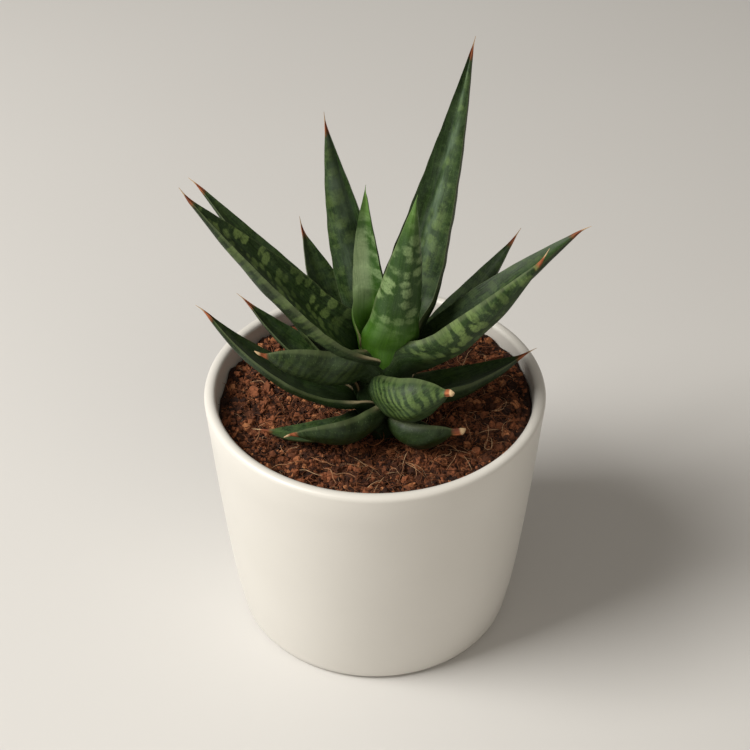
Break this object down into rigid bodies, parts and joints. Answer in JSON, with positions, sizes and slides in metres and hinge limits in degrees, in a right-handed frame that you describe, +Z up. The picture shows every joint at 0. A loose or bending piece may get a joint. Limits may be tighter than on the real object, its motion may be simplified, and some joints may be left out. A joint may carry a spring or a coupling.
{
  "type": "potted snake plant",
  "caption": "Young snake plant: a rosette of stiff, pointed, channelled leaves on a short crown, in coir soil in a round tapered pot.",
  "frame": {"origin": "middle of the pot's underside, on the surface it stands on", "axes": "+Z up along the pot's axis, +X to the right and -Y to the front as seen from the side where the lowest leaves spread"},
  "size_m": [0.1205, 0.11, 0.1999],
  "materials": {
    "pot": "smooth satin warm-white glaze",
    "soil": "matt reddish-brown coir granules and fibres",
    "crown": "pale green leaf bases with dry papery edges",
    "leaf": "waxy dark green with paler cross-bands and blotches, brown spine at the tip",
    "young_leaf": "waxy mid green with pale bands, bright green at the base"
  },
  "bodies": {
    "root": {"pot": "pot", "soil": "soil", "crown": "crown", "leaf_tallest": "leaf", "leaf_back_left_tall": "leaf", "leaf_left_long": "leaf", "leaf_left_long_back": "leaf", "leaf_left_under": "leaf", "leaf_back_left_small": "leaf", "leaf_young_left": "young_leaf", "leaf_young_right": "young_leaf", "leaf_back_right": "leaf", "leaf_right_front": "leaf", "leaf_right_long": "leaf", "leaf_right_low": "leaf", "leaf_left_low": "leaf", "leaf_left_low_back": "leaf", "leaf_front_left": "leaf", "leaf_front": "leaf", "leaf_bottom_left": "leaf", "leaf_bottom_left_back": "leaf", "leaf_bottom_right": "leaf"}
  },
  "joints": []
}
